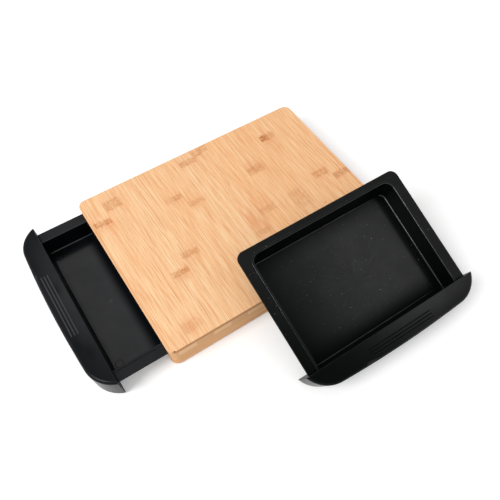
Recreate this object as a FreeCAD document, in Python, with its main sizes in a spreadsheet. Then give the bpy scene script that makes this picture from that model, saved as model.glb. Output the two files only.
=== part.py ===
import FreeCAD, Part
import math
import os

import Sketcher
from FreeCAD import Matrix, Placement, Rotation, Vector

# Bamboo cutting board with two pull-out drawer trays.
#
# The frame's origin is the middle of the underside of the front left foot, on the surface the
# board stands on.  +X runs along the board's long side to the right, +Y away from the user and
# +Z up.  The pieces are drawn round the middle of the board and carried to that origin at the
# end.  A tray is drawn in a frame of its own, which both trays share: x runs from the back of
# its flange to its front, y across it and z up from the top of its flange.

# Driving dimensions in millimetres (degrees for lean_angle): alias, value, meaning
DIMENSIONS = [
    ("board_length", 380.0, "board along X"),
    ("board_depth", 286.0, "board along Y"),
    ("board_top", 44.0, "height of the cutting face"),
    ("foot_gap", 2.0, "height of the wood above the table"),
    ("corner_radius", 11.0, "upright corners of the board"),
    ("edge_round", 1.5, "round-over of the cutting face"),
    ("sole_round", 1.0, "round-over of the rails' lower edges"),
    ("panel_height", 15.5, "strips and core panel together"),
    ("face_height", 4.5, "strips of the cutting face"),
    ("strip_width", 26.75, "strip of the cutting face"),
    ("first_strip", 4.15, "narrow strip at the left end"),
    ("channel_height", 5.0, "channel that the tray flanges run in"),
    ("channel_width", 268.0, "channel across the board"),
    ("rail_width", 23.5, "side rail across its section"),
    ("divider_width", 12.0, "bar between the two bays"),
    ("dowel_diameter", 6.0, "dowel between divider and rail"),
    ("dowel_length", 24.0, "half of it in each piece"),
    ("screw_inset", 5.2, "rail screws in from the long faces"),
    ("screw_near", 60.0, "inner rail screws from the middle"),
    ("screw_far", 150.0, "outer rail screws from the middle"),
    ("divider_screw", 70.0, "divider screws from the middle"),
    ("screw_length", 36.0, "wood screw overall"),
    ("screw_shank", 3.5, "wood screw shank diameter"),
    ("screw_head", 7.0, "countersunk head diameter"),
    ("screw_cone", 2.6, "height of the countersunk head"),
    ("screw_tip", 4.0, "length of the point"),
    ("screw_sink", 0.4, "head below the wood"),
    ("slot_length", 3.6, "cross recess of the screw head"),
    ("slot_width", 0.9, "cross recess blade"),
    ("slot_depth", 1.4, "cross recess depth"),
    ("shank_play", 0.2, "radial play of the screws in the rails"),
    ("foot_diameter", 14.0, "rubber foot"),
    ("foot_height", 3.5, "rubber foot, partly sunk in the rail"),
    ("foot_round", 1.0, "lower edge of the foot"),
    ("foot_play", 0.2, "radial play of the foot in its seat"),
    ("foot_inset", 20.0, "foot centre in from the board's ends"),
    ("flange_width", 265.8, "tray flange across the tray"),
    ("tray_length", 178.4, "flange from its back edge to the front panel"),
    ("flange_thickness", 2.5, "tray flange"),
    ("flange_height", 31.3, "top of the flange in its channel"),
    ("flange_corner", 11.0, "outer back corners of the flange"),
    ("rim_side", 17.3, "cavity in from the flange's sides, at the flange"),
    ("rim_back", 12.0, "cavity in from the flange's back edge"),
    ("rim_corner", 12.0, "back corners of the cavity at the flange"),
    ("bead_width", 3.6, "raised bead round the cavity"),
    ("bead_height", 1.3, "raised bead above the flange"),
    ("bead_round", 0.8, "outer edge of the bead"),
    ("lip_round", 2.0, "inner edge of the bead, over the cavity"),
    ("tub_depth", 25.5, "tray floor below the flange"),
    ("tub_wall", 2.0, "tray walls and floor"),
    ("draft_side", 1.9, "side walls lean in over the depth"),
    ("draft_back", 6.4, "back wall leans in over the depth"),
    ("draft_front", 1.5, "front wall leans in over the depth"),
    ("floor_corner", 9.0, "back corners of the floor"),
    ("floor_round", 2.0, "fillet between floor and walls"),
    ("front_width", 279.0, "front panel across the tray"),
    ("front_reach", 31.4, "front panel's crescent at its middle"),
    ("front_end", 44.0, "radius of the crescent's two ends"),
    ("front_set", 15.5, "centres of those radii behind the straight edge"),
    ("front_rise", 12.2, "front panel above the flange"),
    ("front_drop", 28.3, "front panel below the flange"),
    ("front_skin", 2.5, "walls of the hollow front panel"),
    ("front_round", 5.0, "outer edge of the front panel's top"),
    ("back_round", 0.6, "straight edge of the front panel's top"),
    ("web_width", 1.8, "stiffening webs in the front panel"),
    ("web_pitch", 64.0, "distance between the webs"),
    ("grip_length", 104.0, "grip ribs on the front panel"),
    ("grip_width", 1.7, "grip rib"),
    ("grip_height", 0.8, "grip rib above the panel"),
    ("grip_pitch", 4.4, "distance between the grip ribs"),
    ("grip_inset", 13.2, "first grip rib in from the straight edge"),
    ("grip_end", 0.8, "rounded ends of the grip ribs"),
    ("grip_round", 0.5, "upper edges of the grip ribs"),
    ("mark_diameter", 11.0, "moulding marks in the floor's front corners"),
    ("mark_height", 0.4, "moulding marks above the floor"),
    ("mark_side", 13.5, "moulding marks in from the floor's sides"),
    ("mark_end", 8.5, "moulding marks in from the floor's front edge"),
    ("pull_out", 70.9, "left tray drawn out of its bay"),
    ("right_tray_x", 74.8, "middle of the tray that lies on the board"),
    ("lean_angle", 17.5, "that tray's slope towards the table"),
    ("lean_gap", 0.3, "air between that tray and the board's edge"),
]

doc = FreeCAD.newDocument("cutting_board")
sheet = doc.addObject("Spreadsheet::Sheet", "Sizes")
for row, (alias, value, meaning) in enumerate(DIMENSIONS, start=1):
    sheet.set(f"A{row}", alias)
    sheet.set(f"B{row}", str(value))
    sheet.set(f"C{row}", meaning)
    sheet.setAlias(f"B{row}", alias)
doc.recompute()

# Lengths that follow from the driving dimensions, as expressions on the sheet
HALF_LENGTH = "Sizes.board_length / 2"
HALF_DEPTH = "Sizes.board_depth / 2"
RAIL_TOP = "(Sizes.board_top - Sizes.panel_height)"
RAIL_HEIGHT = f"({RAIL_TOP} - Sizes.foot_gap)"
RAIL_INNER = "(Sizes.board_depth / 2 - Sizes.rail_width)"
SCREW_ROW = "(Sizes.board_depth / 2 - Sizes.screw_inset)"
DOWEL_HEIGHT = f"(Sizes.foot_gap + {RAIL_HEIGHT} / 2)"
RIM_HALF = "(Sizes.flange_width / 2 - Sizes.rim_side)"
FLOOR_HALF = f"({RIM_HALF} - Sizes.draft_side)"
FLOOR_BACK = "(Sizes.rim_back + Sizes.draft_back)"
FRONT_OVERLAP = "(Sizes.tray_length + Sizes.front_skin / 2)"
END_CENTRE = "(Sizes.front_width / 2 - sqrt(Sizes.front_end ^ 2 - Sizes.front_set ^ 2))"
BOW_RADIUS = (
    f"(((Sizes.front_reach + Sizes.front_set) ^ 2 + {END_CENTRE} ^ 2 - Sizes.front_end ^ 2)"
    " / (2 * (Sizes.front_reach + Sizes.front_set - Sizes.front_end)))"
)
FACE_FLOOR = "(Sizes.board_top - Sizes.face_height)"
FOOT_ROW = "(Sizes.board_depth / 2 - Sizes.rail_width / 2)"
FOOT_COLUMN = "(Sizes.board_length / 2 - Sizes.foot_inset)"

# The glue lines between the strips, from beyond the left end to beyond the right end
GLUE_LINES = [
    "-Sizes.board_length",
    *(f"-{HALF_LENGTH} + Sizes.first_strip + {number} * Sizes.strip_width" for number in range(14)),
    "Sizes.board_length",
]
STRIPS = [f"face_strip_{number:02d}" for number in range(1, len(GLUE_LINES))]

# Where things stand, as pairs of X and Y
RAIL_SCREWS = [
    (f"{x_sign}Sizes.{reach}", f"{y_sign}{SCREW_ROW}")
    for y_sign in ("-", "") for x_sign in ("-", "") for reach in ("screw_near", "screw_far")
]
DIVIDER_SCREWS = [("0", f"{y_sign}Sizes.divider_screw") for y_sign in ("-", "")]
FEET = {
    "foot_front_left": (f"-{FOOT_COLUMN}", f"-{FOOT_ROW}"),
    "foot_front_right": (FOOT_COLUMN, f"-{FOOT_ROW}"),
    "foot_back_left": (f"-{FOOT_COLUMN}", FOOT_ROW),
    "foot_back_right": (FOOT_COLUMN, FOOT_ROW),
}
NODES = [
    *STRIPS, "core_panel", "front_rail", "back_rail", "centre_divider", *FEET,
    "rail_screws", "divider_screws", "divider_dowels", "left_tray", "right_tray",
]

# Two edges further apart than this, in millimetres, are different ones
NEAR = 0.5


def size(expression):
    """The number that an expression on the sheet stands for."""
    return float(sheet.evalExpression(expression))


def new_body(name):
    """An empty body whose Label names its node."""
    body = doc.addObject("PartDesign::Body", name)
    body.Label = name
    return body


def new_sketch(body, name, plane="XY_Plane", height=None):
    """A sketch on one of the body's origin planes, lifted along the plane's normal."""
    sketch = body.newObject("Sketcher::SketchObject", f"{body.Name}_{name}")
    support = next(item for item in body.Origin.OriginFeatures if item.Role == plane)
    sketch.AttachmentSupport = (support, [""])
    sketch.MapMode = "FlatFace"
    if height is not None:
        sketch.setExpression("AttachmentOffset.Base.z", height)
    return sketch


def bind(sketch, kind, *where, expression):
    """A dimensional constraint whose value follows an expression on the sheet."""
    index = sketch.addConstraint(Sketcher.Constraint(kind, *where, size(expression)))
    sketch.setExpression(f"Constraints[{index}]", expression)


def pin(sketch, axis, geometry, point, expression):
    """Hold a point's distance from the origin along X or Y, of either sign."""
    value = size(expression)
    if abs(value) < 1e-9:
        sketch.addConstraint(Sketcher.Constraint("PointOnObject", geometry, point, -2 if axis == "X" else -1))
    elif value > 0:
        bind(sketch, f"Distance{axis}", -1, 1, geometry, point, expression=expression)
    else:
        bind(sketch, f"Distance{axis}", geometry, point, -1, 1, expression=f"-({expression})")


def rectangle(sketch, x_low, x_high, y_low, y_high, radii=(None, None, None, None)):
    """A closed rectangle with an optional radius at each corner.

    The corners run anticlockwise from the one at x_low and y_low.
    """
    x_0, x_1, y_0, y_1 = (size(item) for item in (x_low, x_high, y_low, y_high))
    corners = [Vector(x_0, y_0), Vector(x_1, y_0), Vector(x_1, y_1), Vector(x_0, y_1)]
    rounds = [0.0 if radius is None else size(radius) for radius in radii]
    sides = []
    for index in range(4):
        here, there = corners[index], corners[(index + 1) % 4]
        along = (there - here).normalize()
        start = here + along * rounds[index]
        end = there - along * rounds[(index + 1) % 4]
        sides.append(sketch.addGeometry(Part.LineSegment(start, end)))
        sketch.addConstraint(Sketcher.Constraint("Vertical" if index % 2 else "Horizontal", sides[-1]))
    for side, axis, place in zip(sides, ("Y", "X", "Y", "X"), (y_low, x_high, y_high, x_low)):
        pin(sketch, axis, side, 1, place)
    for index, radius in enumerate(radii):
        before, after = sides[index - 1], sides[index]
        if radius is None:
            sketch.addConstraint(Sketcher.Constraint("Coincident", before, 2, after, 1))
            continue
        turn = math.radians(180 + 90 * index)
        inward = Vector(-math.cos(turn + math.pi / 4), -math.sin(turn + math.pi / 4))
        centre = corners[index] + inward * rounds[index] * math.sqrt(2)
        circle = Part.Circle(centre, Vector(0, 0, 1), rounds[index])
        arc = sketch.addGeometry(Part.ArcOfCircle(circle, turn, turn + math.pi / 2))
        sketch.addConstraint(Sketcher.Constraint("Tangent", before, 2, arc, 1))
        sketch.addConstraint(Sketcher.Constraint("Tangent", arc, 2, after, 1))
        bind(sketch, "Radius", arc, expression=radius)


def circle_at(sketch, x_place, y_place, diameter):
    """A circle with its centre held on both axes."""
    centre = Vector(size(x_place), size(y_place))
    ring = sketch.addGeometry(Part.Circle(centre, Vector(0, 0, 1), size(diameter) / 2))
    pin(sketch, "X", ring, 3, x_place)
    pin(sketch, "Y", ring, 3, y_place)
    bind(sketch, "Diameter", ring, expression=diameter)


def polygon(sketch, places):
    """A closed outline through points given as pairs of expressions."""
    points = [Vector(size(x_place), size(y_place)) for x_place, y_place in places]
    count = len(points)
    for index, point in enumerate(points):
        sketch.addGeometry(Part.LineSegment(point, points[(index + 1) % count]))
    for index, (x_place, y_place) in enumerate(places):
        sketch.addConstraint(Sketcher.Constraint("Coincident", (index - 1) % count, 2, index, 1))
        pin(sketch, "X", index, 1, x_place)
        pin(sketch, "Y", index, 1, y_place)


def crescent(sketch, inset):
    """The front panel's outline: a straight back, two pointed round ends and a long shallow bow."""
    back, reach, end, step = (size(item) for item in ("Sizes.tray_length", "Sizes.front_reach",
                                                      "Sizes.front_end", inset))
    bow, behind, across = (size(item) for item in (BOW_RADIUS, "Sizes.front_set", END_CENTRE))
    lean = math.atan2(across, bow - reach - behind)
    tip = math.acos((behind + step) / (end - step))
    edge = across + (end - step) * math.sin(tip)
    spine = sketch.addGeometry(Part.LineSegment(Vector(back + step, edge), Vector(back + step, -edge)))
    up = Vector(0, 0, 1)
    low = Part.Circle(Vector(back - behind, -across), up, end - step)
    front = Part.Circle(Vector(back + reach - bow, 0), up, bow - step)
    high = Part.Circle(Vector(back - behind, across), up, end - step)
    low_arc = sketch.addGeometry(Part.ArcOfCircle(low, -tip, -lean))
    front_arc = sketch.addGeometry(Part.ArcOfCircle(front, -lean, lean))
    high_arc = sketch.addGeometry(Part.ArcOfCircle(high, lean, tip))
    sketch.addConstraint(Sketcher.Constraint("Vertical", spine))
    pin(sketch, "X", spine, 1, f"Sizes.tray_length + {inset}")
    for arc, side in ((low_arc, "-"), (high_arc, "")):
        pin(sketch, "X", arc, 3, "Sizes.tray_length - Sizes.front_set")
        pin(sketch, "Y", arc, 3, f"{side}{END_CENTRE}")
        bind(sketch, "Radius", arc, expression=f"Sizes.front_end - {inset}")
    sketch.addConstraint(Sketcher.Constraint("Coincident", spine, 2, low_arc, 1))
    sketch.addConstraint(Sketcher.Constraint("Tangent", low_arc, 2, front_arc, 1))
    sketch.addConstraint(Sketcher.Constraint("Tangent", front_arc, 2, high_arc, 1))
    sketch.addConstraint(Sketcher.Constraint("Coincident", high_arc, 2, spine, 1))
    bind(sketch, "Radius", front_arc, expression=f"{BOW_RADIUS} - {inset}")


def pad(body, sketch, length, downwards=False):
    """Add the sketch's area as a solid of the given height."""
    feature = body.newObject("PartDesign::Pad", f"{sketch.Name}_pad")
    feature.Profile = sketch
    feature.setExpression("Length", length)
    feature.Reversed = downwards
    return feature


def pocket(body, sketch, length, upwards=True):
    """Cut the sketch's area out of the body, against the plane's normal unless upwards."""
    feature = body.newObject("PartDesign::Pocket", f"{sketch.Name}_pocket")
    feature.Profile = sketch
    feature.setExpression("Length", length)
    feature.Reversed = upwards
    return feature


def loft(body, kind, name, low, high):
    """A straight-sided loft between two sketches, added to the body or cut out of it."""
    feature = body.newObject(f"PartDesign::{kind}Loft", f"{body.Name}_{name}")
    feature.Profile = low
    feature.Sections = [high]
    feature.Ruled = True
    return feature


def blend(body, name, edges_of, wanted, radius):
    """Round those edges of a feature for which wanted(edge) holds."""
    doc.recompute()
    names = [f"Edge{index}" for index, edge in enumerate(edges_of.Shape.Edges, start=1) if wanted(edge)]
    feature = body.newObject("PartDesign::Fillet", f"{body.Name}_{name}")
    feature.Base = (edges_of, names)
    feature.setExpression("Radius", radius)
    return feature


def level(edge, height, within=0.01):
    """Whether an edge lies flat at a height."""
    box = edge.BoundBox
    return abs(box.ZMin - height) < within and abs(box.ZMax - height) < within


def revolve(body, sketch):
    """Turn a profile once round the body's Z axis."""
    feature = body.newObject("PartDesign::Revolution", f"{sketch.Name}_turned")
    feature.Profile = sketch
    feature.ReferenceAxis = (sketch, ["V_Axis"])
    feature.Angle = 360.0
    return feature


def make_strips():
    """The cutting face: bamboo strips side by side, sawn out of one rounded blank."""
    blank = new_body("face_blank")
    outline = new_sketch(blank, "outline", height=FACE_FLOOR)
    rectangle(outline, f"-{HALF_LENGTH}", HALF_LENGTH, f"-{HALF_DEPTH}", HALF_DEPTH,
              ["Sizes.corner_radius"] * 4)
    plate = pad(blank, outline, "Sizes.face_height")
    top = size("Sizes.board_top")
    blend(blank, "round_over", plate, lambda edge: level(edge, top), "Sizes.edge_round")
    for name, low, high in zip(STRIPS, GLUE_LINES, GLUE_LINES[1:]):
        cut = doc.addObject("Part::Box", f"{name}_cut")
        cut.setExpression("Length", f"({high}) - ({low})")
        cut.setExpression("Width", "2 * Sizes.board_depth")
        cut.setExpression("Height", "Sizes.board_top")
        cut.setExpression("Placement.Base.x", low)
        cut.setExpression("Placement.Base.y", "-Sizes.board_depth")
        cut.setExpression("Placement.Base.z", RAIL_TOP)
        strip = doc.addObject("Part::Common", name)
        strip.Label = name
        strip.Base, strip.Tool = blank, cut


def make_core_panel():
    """The panel under the strips, with a channel for each tray milled in its underside."""
    body = new_body("core_panel")
    outline = new_sketch(body, "outline", height=RAIL_TOP)
    rectangle(outline, f"-{HALF_LENGTH}", HALF_LENGTH, f"-{HALF_DEPTH}", HALF_DEPTH,
              ["Sizes.corner_radius"] * 4)
    pad(body, outline, "Sizes.panel_height - Sizes.face_height")
    half_channel = "Sizes.channel_width / 2"
    bays = {
        "left_bay": (f"-{HALF_LENGTH}", "-Sizes.divider_width / 2"),
        "right_bay": ("Sizes.divider_width / 2", HALF_LENGTH),
    }
    for name, (x_low, x_high) in bays.items():
        channel = new_sketch(body, name, height=RAIL_TOP)
        rectangle(channel, x_low, x_high, f"-{half_channel}", half_channel)
        pocket(body, channel, "Sizes.channel_height")
    holes = new_sketch(body, "pilot_holes", height=RAIL_TOP)
    for x_place, y_place in RAIL_SCREWS + DIVIDER_SCREWS:
        circle_at(holes, x_place, y_place, "Sizes.screw_shank")
    pocket(body, holes, f"Sizes.foot_gap + Sizes.screw_sink + Sizes.screw_length - {RAIL_TOP}")


def screw_holes(body, places):
    """Clearance holes with a countersink for the screws that come up from below."""
    holes = new_sketch(body, "screw_holes", height="Sizes.foot_gap")
    for x_place, y_place in places:
        circle_at(holes, x_place, y_place, "Sizes.screw_shank + 2 * Sizes.shank_play")
    pocket(body, holes, RAIL_HEIGHT)
    for index, (x_place, y_place) in enumerate(places, start=1):
        profile = new_sketch(body, f"countersink_{index}", plane="XZ_Plane", height=f"-({y_place})")
        mouth = "Sizes.screw_head / 2 + Sizes.shank_play"
        throat = "Sizes.screw_shank / 2 + Sizes.shank_play"
        floor = "Sizes.foot_gap"
        polygon(profile, [
            (x_place, floor),
            (f"{x_place} + {mouth}", floor),
            (f"{x_place} + {mouth}", f"{floor} + Sizes.screw_sink"),
            (f"{x_place} + {throat}", f"{floor} + Sizes.screw_sink + Sizes.screw_cone"),
            (x_place, f"{floor} + Sizes.screw_sink + Sizes.screw_cone"),
        ])
        sink = body.newObject("PartDesign::Groove", f"{body.Name}_countersink_cut_{index}")
        sink.Profile = profile
        sink.ReferenceAxis = (profile, ["Edge5"])
        sink.Angle = 360.0


def make_rail(name, side):
    """One of the two long rails that carry the trays; side is "-" at the front, "" at the back."""
    body = new_body(name)
    outline = new_sketch(body, "outline", height="Sizes.foot_gap")
    outer, inner = f"{side}{HALF_DEPTH}", f"{side}{RAIL_INNER}"
    round_outer = ["Sizes.corner_radius", "Sizes.corner_radius", None, None]
    if side:
        rectangle(outline, f"-{HALF_LENGTH}", HALF_LENGTH, outer, inner, round_outer)
    else:
        rectangle(outline, f"-{HALF_LENGTH}", HALF_LENGTH, inner, outer, round_outer[::-1])
    bar = pad(body, outline, RAIL_HEIGHT)
    sole, outer_face, inner_face = size("Sizes.foot_gap"), size(outer), size(inner)
    blend(body, "sole_round", bar,
          lambda edge: level(edge, sole) and abs(edge.CenterOfMass.y - inner_face) > NEAR, "Sizes.sole_round")
    seats = new_sketch(body, "foot_seats", height="Sizes.foot_gap")
    for x_sign in ("-", ""):
        circle_at(seats, f"{x_sign}{FOOT_COLUMN}", f"{side}{FOOT_ROW}",
                  "Sizes.foot_diameter + 2 * Sizes.foot_play")
    pocket(body, seats, "Sizes.foot_height - Sizes.foot_gap")
    dowel = new_sketch(body, "dowel_hole", plane="XZ_Plane", height=f"-({inner})")
    circle_at(dowel, "0", DOWEL_HEIGHT, "Sizes.dowel_diameter")
    pocket(body, dowel, "Sizes.dowel_length / 2", upwards=outer_face < inner_face)
    screw_holes(body, [place for place in RAIL_SCREWS if size(place[1]) * outer_face > 0])


def make_divider():
    """The bar between the bays: it ties the rails together and stops the trays."""
    body = new_body("centre_divider")
    outline = new_sketch(body, "outline", height="Sizes.foot_gap")
    half = "Sizes.divider_width / 2"
    rectangle(outline, f"-{half}", half, f"-{RAIL_INNER}", RAIL_INNER)
    pad(body, outline, RAIL_HEIGHT)
    for index, side in enumerate(("-", ""), start=1):
        dowel = new_sketch(body, f"dowel_hole_{index}", plane="XZ_Plane", height=f"-({side}{RAIL_INNER})")
        circle_at(dowel, "0", DOWEL_HEIGHT, "Sizes.dowel_diameter")
        pocket(body, dowel, "Sizes.dowel_length / 2", upwards=not side)
    screw_holes(body, DIVIDER_SCREWS)


def make_foot(name, x_place, y_place):
    """A rubber foot sunk into the underside of a rail."""
    body = new_body(name)
    profile = new_sketch(body, "profile", plane="XZ_Plane")
    rim = "Sizes.foot_diameter / 2"
    polygon(profile, [
        ("0", "0"), (f"{rim} - Sizes.foot_round", "0"), (rim, "Sizes.foot_round"),
        (rim, "Sizes.foot_height"), ("0", "Sizes.foot_height"),
    ])
    revolve(body, profile)
    body.Placement = Placement(Vector(size(x_place), size(y_place), 0), Rotation())


def make_screw_master():
    """One countersunk wood screw, head down at the origin, which the groups below repeat."""
    body = new_body("screw_master")
    profile = new_sketch(body, "profile", plane="XZ_Plane")
    shank, head = "Sizes.screw_shank / 2", "Sizes.screw_head / 2"
    polygon(profile, [
        ("0", "0"), (head, "0"), (shank, "Sizes.screw_cone"),
        (shank, "Sizes.screw_length - Sizes.screw_tip"), ("0", "Sizes.screw_length"),
    ])
    revolve(body, profile)
    half_long, half_wide = "Sizes.slot_length / 2", "Sizes.slot_width / 2"
    for index, (reach_x, reach_y) in enumerate(((half_long, half_wide), (half_wide, half_long)), start=1):
        blade = new_sketch(body, f"recess_{index}")
        rectangle(blade, f"-{reach_x}", reach_x, f"-{reach_y}", reach_y)
        pocket(body, blade, "Sizes.slot_depth")
    return body


def make_screws(name, master, places):
    """A group of equal screws, each a solid of its own."""
    height = size("Sizes.foot_gap + Sizes.screw_sink")
    group = doc.addObject("Part::Feature", name)
    group.Label = name
    group.Shape = Part.makeCompound([
        master.Shape.translated(Vector(size(x_place), size(y_place), height)) for x_place, y_place in places
    ])


def make_dowels():
    """The two dowels between the divider and the rails."""
    radius, length = size("Sizes.dowel_diameter / 2"), size("Sizes.dowel_length")
    dowels = []
    for y_sign in ("-", ""):
        start = Vector(0, size(f"{y_sign}{RAIL_INNER}") - length / 2, size(DOWEL_HEIGHT))
        dowels.append(Part.makeCylinder(radius, length, start, Vector(0, 1, 0)))
    group = doc.addObject("Part::Feature", "divider_dowels")
    group.Label = "divider_dowels"
    group.Shape = Part.makeCompound(dowels)


def cavity_outline(sketch, back, front, half, corner, spread="0"):
    """A cavity's rectangle with round back corners and square front ones, grown by spread."""
    back_round = f"({corner} + {spread})"
    rectangle(sketch, f"{back} - {spread}", front, f"-({half} + {spread})", f"{half} + {spread}",
              [back_round, None, None, back_round])


def add_flange(body):
    """The flat flange that runs in the channel, and the bead round the cavity's edge."""
    half = "Sizes.flange_width / 2"
    flange = new_sketch(body, "flange", height="-Sizes.flange_thickness")
    rectangle(flange, "0", FRONT_OVERLAP, f"-{half}", half,
              ["Sizes.flange_corner", None, None, "Sizes.flange_corner"])
    pad(body, flange, "Sizes.flange_thickness")
    bead = new_sketch(body, "bead")
    bead_half, bead_corner = f"({RIM_HALF} + Sizes.bead_width)", "(Sizes.rim_corner + Sizes.bead_width)"
    rectangle(bead, "Sizes.rim_back - Sizes.bead_width", FRONT_OVERLAP, f"-{bead_half}", bead_half,
              [bead_corner, None, None, bead_corner])
    crown = pad(body, bead, "Sizes.bead_height")
    top, back = size("Sizes.bead_height"), size("Sizes.tray_length")
    blend(body, "bead_round", crown, lambda edge: level(edge, top) and edge.BoundBox.XMin < back - NEAR,
          "Sizes.bead_round")


def add_front(body):
    """The crescent front panel, still solid, with its upper edges rounded."""
    front = new_sketch(body, "front", height="-Sizes.front_drop")
    crescent(front, "0")
    shell = pad(body, front, "Sizes.front_rise + Sizes.front_drop")
    top, back = size("Sizes.front_rise"), size("Sizes.tray_length")
    shell = blend(body, "front_round", shell,
                  lambda edge: level(edge, top) and edge.BoundBox.XMax > back + NEAR, "Sizes.front_round")
    blend(body, "back_round", shell,
          lambda edge: level(edge, top) and edge.BoundBox.XMax < back + NEAR and edge.BoundBox.YLength > NEAR,
          "Sizes.back_round")


def add_tub(body):
    """The tub's outside, and the hollow under the front panel that it closes at the back."""
    low = new_sketch(body, "tub_low", height="-(Sizes.tub_depth + Sizes.tub_wall)")
    high = new_sketch(body, "tub_high", height="-Sizes.flange_thickness / 2")
    cavity_outline(low, FLOOR_BACK, FRONT_OVERLAP, FLOOR_HALF, "Sizes.floor_corner", "Sizes.tub_wall")
    cavity_outline(high, "Sizes.rim_back", FRONT_OVERLAP, RIM_HALF, "Sizes.rim_corner", "Sizes.tub_wall")
    loft(body, "Additive", "tub", low, high)
    hollow = new_sketch(body, "hollow", height="-Sizes.front_drop")
    crescent(hollow, "Sizes.front_skin")
    pocket(body, hollow, "Sizes.front_rise + Sizes.front_drop - Sizes.front_skin")


def cut_cavity(body):
    """The tray's hollow, open at the top, with a round lip and a fillet round its floor."""
    floor = new_sketch(body, "floor", height="-Sizes.tub_depth")
    cavity_outline(floor, FLOOR_BACK, "Sizes.tray_length - Sizes.draft_front", FLOOR_HALF,
                   "Sizes.floor_corner")
    mouth = new_sketch(body, "mouth", height="Sizes.bead_height")
    cavity_outline(mouth, "Sizes.rim_back", "Sizes.tray_length", RIM_HALF, "Sizes.rim_corner")
    cavity = loft(body, "Subtractive", "cavity", floor, mouth)
    top, rim, half = size("Sizes.bead_height"), size("Sizes.rim_back"), size(RIM_HALF)
    back = size("Sizes.tray_length")
    cavity = blend(body, "lip_round", cavity,
                   lambda edge: level(edge, top) and edge.BoundBox.XMin < back - NEAR
                   and -half - NEAR < edge.BoundBox.YMin and edge.BoundBox.YMax < half + NEAR
                   and edge.BoundBox.XMin > rim - NEAR,
                   "Sizes.lip_round")
    floor_level = -size("Sizes.tub_depth")
    blend(body, "floor_round", cavity, lambda edge: level(edge, floor_level), "Sizes.floor_round")


def add_webs(body):
    """Stiffening webs across the hollow of the front panel: one in the middle, one at each side."""
    webs = new_sketch(body, "webs", height="-Sizes.front_drop / 2")
    for middle in ("-Sizes.web_pitch", "0", "Sizes.web_pitch"):
        rectangle(webs, FRONT_OVERLAP, "Sizes.tray_length + Sizes.front_reach - Sizes.front_skin",
                  f"{middle} - Sizes.web_width / 2", f"{middle} + Sizes.web_width / 2")
    pad(body, webs, "Sizes.front_rise + Sizes.front_drop / 2 - Sizes.front_skin / 2")


def add_marks(body):
    """The flat round marks in the two front corners of the floor."""
    marks = new_sketch(body, "marks", height="-Sizes.tub_depth - Sizes.tub_wall / 2")
    for side in ("-", ""):
        circle_at(marks, "Sizes.tray_length - Sizes.draft_front - Sizes.mark_end",
                  f"{side}({FLOOR_HALF} - Sizes.mark_side)", "Sizes.mark_diameter")
    pad(body, marks, "Sizes.mark_height + Sizes.tub_wall / 2")


def add_grip(body):
    """Three parallel ribs on the front panel for the thumb."""
    grip = new_sketch(body, "grip", height="Sizes.front_rise - Sizes.front_skin / 2")
    reach, half = "Sizes.grip_length / 2", "Sizes.grip_width / 2"
    for steps in ("0", "1", "2"):
        middle = f"(Sizes.tray_length + Sizes.grip_inset + {steps} * Sizes.grip_pitch)"
        rectangle(grip, f"{middle} - {half}", f"{middle} + {half}", f"-{reach}", reach,
                  ["Sizes.grip_end"] * 4)
    ribs = pad(body, grip, "Sizes.grip_height + Sizes.front_skin / 2")
    crown = size("Sizes.front_rise + Sizes.grip_height")
    blend(body, "grip_round", ribs, lambda edge: level(edge, crown), "Sizes.grip_round")


def make_tray(name, placement):
    """One moulded tray: flange, tub, raised bead and hollow crescent front in a single piece."""
    body = new_body(name)
    add_flange(body)
    add_front(body)
    add_tub(body)
    cut_cavity(body)
    add_webs(body)
    add_marks(body)
    add_grip(body)
    body.Placement = placement


def left_placement():
    """The left tray in its channel, drawn out along -X."""
    back_edge = -size(HALF_LENGTH) - size("Sizes.pull_out") + size("Sizes.tray_length")
    return Placement(Vector(back_edge, 0, size("Sizes.flange_height")), Rotation(Vector(0, 0, 1), 180))


def right_placement():
    """The other tray, out of its bay, sloping from the board's front edge down to the table.

    The lowest point of its front stands on the table, and the underside of its tub lies on the
    rounded front edge of the board: the two contacts fix its height and its place along Y.
    """
    slope = math.radians(size("Sizes.lean_angle"))
    sine, cosine = math.sin(slope), math.cos(slope)
    nose = size("Sizes.tray_length + Sizes.front_reach")
    height = nose * sine + size("Sizes.front_drop") * cosine
    edge_round = size("Sizes.edge_round")
    edge_y = -size(HALF_DEPTH) + edge_round
    edge_z = size("Sizes.board_top") - edge_round
    below = size("Sizes.tub_depth + Sizes.tub_wall + Sizes.edge_round + Sizes.lean_gap")
    y_place = edge_y - ((edge_z - height) * cosine + below) / sine
    along, across, up = Vector(0, -cosine, -sine), Vector(1, 0, 0), Vector(0, -sine, cosine)
    place = Vector(size("Sizes.right_tray_x"), y_place, height)
    return Placement(Matrix(
        along.x, across.x, up.x, place.x,
        along.y, across.y, up.y, place.y,
        along.z, across.z, up.z, place.z,
        0, 0, 0, 1))


make_strips()
make_core_panel()
make_rail("front_rail", "-")
make_rail("back_rail", "")
make_divider()
for foot, (foot_x, foot_y) in FEET.items():
    make_foot(foot, foot_x, foot_y)
screw_master = make_screw_master()
doc.recompute()
make_screws("rail_screws", screw_master, RAIL_SCREWS)
make_screws("divider_screws", screw_master, DIVIDER_SCREWS)
make_dowels()
make_tray("left_tray", left_placement())
make_tray("right_tray", right_placement())
doc.recompute()

# Everything above is drawn round the middle of the board: carry it to the frame's origin
origin_foot = Vector(size(FEET["foot_front_left"][0]), size(FEET["foot_front_left"][1]), 0)
for node in NODES:
    item = doc.getObjectsByLabel(node)[0]
    item.Placement = Placement(-origin_foot, Rotation()).multiply(item.Placement)
doc.recompute()

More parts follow.
